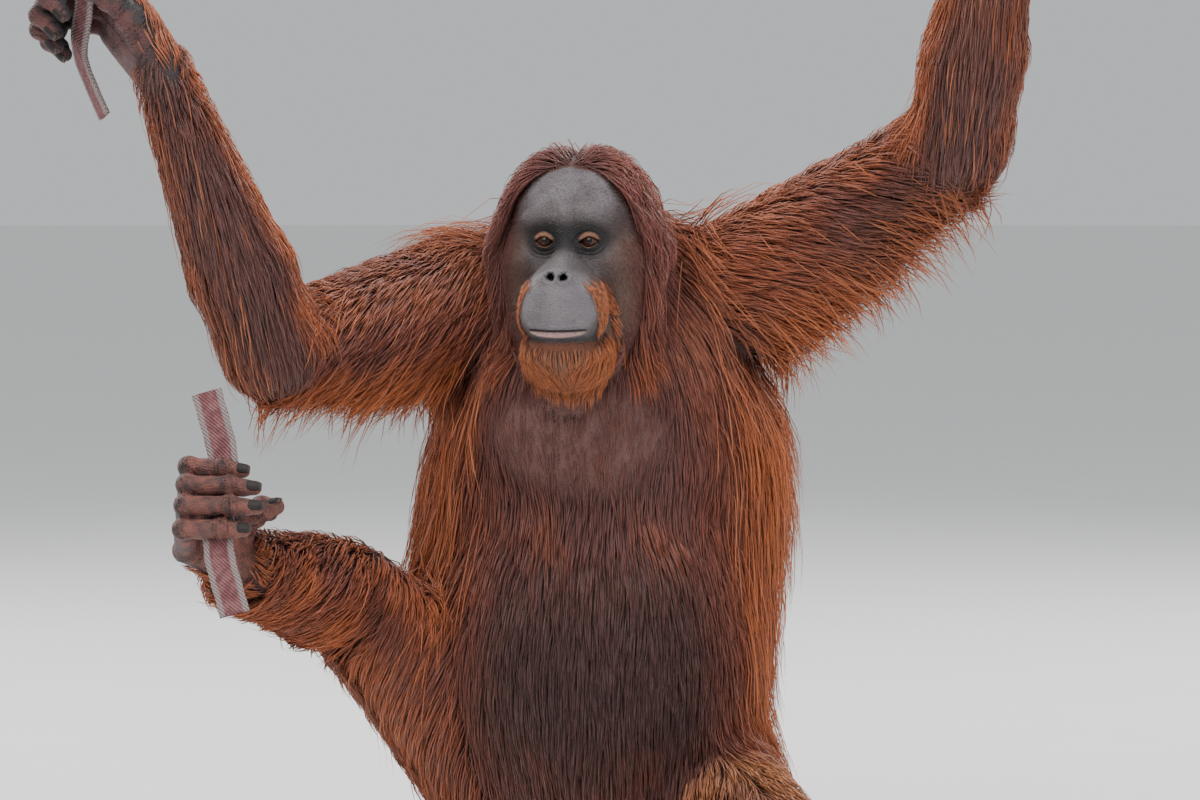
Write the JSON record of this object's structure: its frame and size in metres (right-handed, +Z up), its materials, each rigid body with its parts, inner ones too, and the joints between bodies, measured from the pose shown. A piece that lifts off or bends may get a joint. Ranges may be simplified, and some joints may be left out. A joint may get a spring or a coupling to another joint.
{
  "type": "orangutan",
  "caption": "Life-size orangutan sitting on the floor, both arms raised and one foot lifted, each closed round a short cut length of strap.",
  "frame": {"origin": "on the flat under the rump, midway between the hips", "axes": "+Z up, the animal faces -Y, +X to its left"},
  "size_m": [1.0709, 0.6264, 1.2083],
  "materials": {
    "coat": "long loose hair",
    "face_skin": "dark bare skin, slightly shiny",
    "bare_skin": "bare wrinkled skin of hands and feet",
    "eye": "wet and glossy",
    "webbing": "worn woven strap"
  },
  "bodies": {
    "root": {"belly": "coat", "big_toe_left": "bare_skin", "big_toe_right": "bare_skin", "chest": "coat", "ear_left": "face_skin", "ear_right": "face_skin", "eye_left": "eye", "eye_right": "eye", "finger_index_left": "bare_skin", "finger_index_right": "bare_skin", "finger_little_left": "bare_skin", "finger_little_right": "bare_skin", "finger_middle_left": "bare_skin", "finger_middle_right": "bare_skin", "finger_ring_left": "bare_skin", "finger_ring_right": "bare_skin", "foot_left": "bare_skin", "foot_right": "bare_skin", "forearm_left": "coat", "forearm_right": "coat", "head": "coat", "lower_jaw": "coat", "muzzle": "face_skin", "neck": "coat", "palm_left": "bare_skin", "palm_right": "bare_skin", "pelvis": "coat", "shank_left": "coat", "shank_right": "coat", "strap_left_hand": "webbing", "strap_right_foot": "webbing", "strap_right_hand": "webbing", "thigh_left": "coat", "thigh_right": "coat", "thumb_left": "bare_skin", "thumb_right": "bare_skin", "toe_fifth_left": "bare_skin", "toe_fifth_right": "bare_skin", "toe_fourth_left": "bare_skin", "toe_fourth_right": "bare_skin", "toe_second_left": "bare_skin", "toe_second_right": "bare_skin", "toe_third_left": "bare_skin", "toe_third_right": "bare_skin", "upper_arm_left": "coat", "upper_arm_right": "coat"}
  },
  "joints": []
}
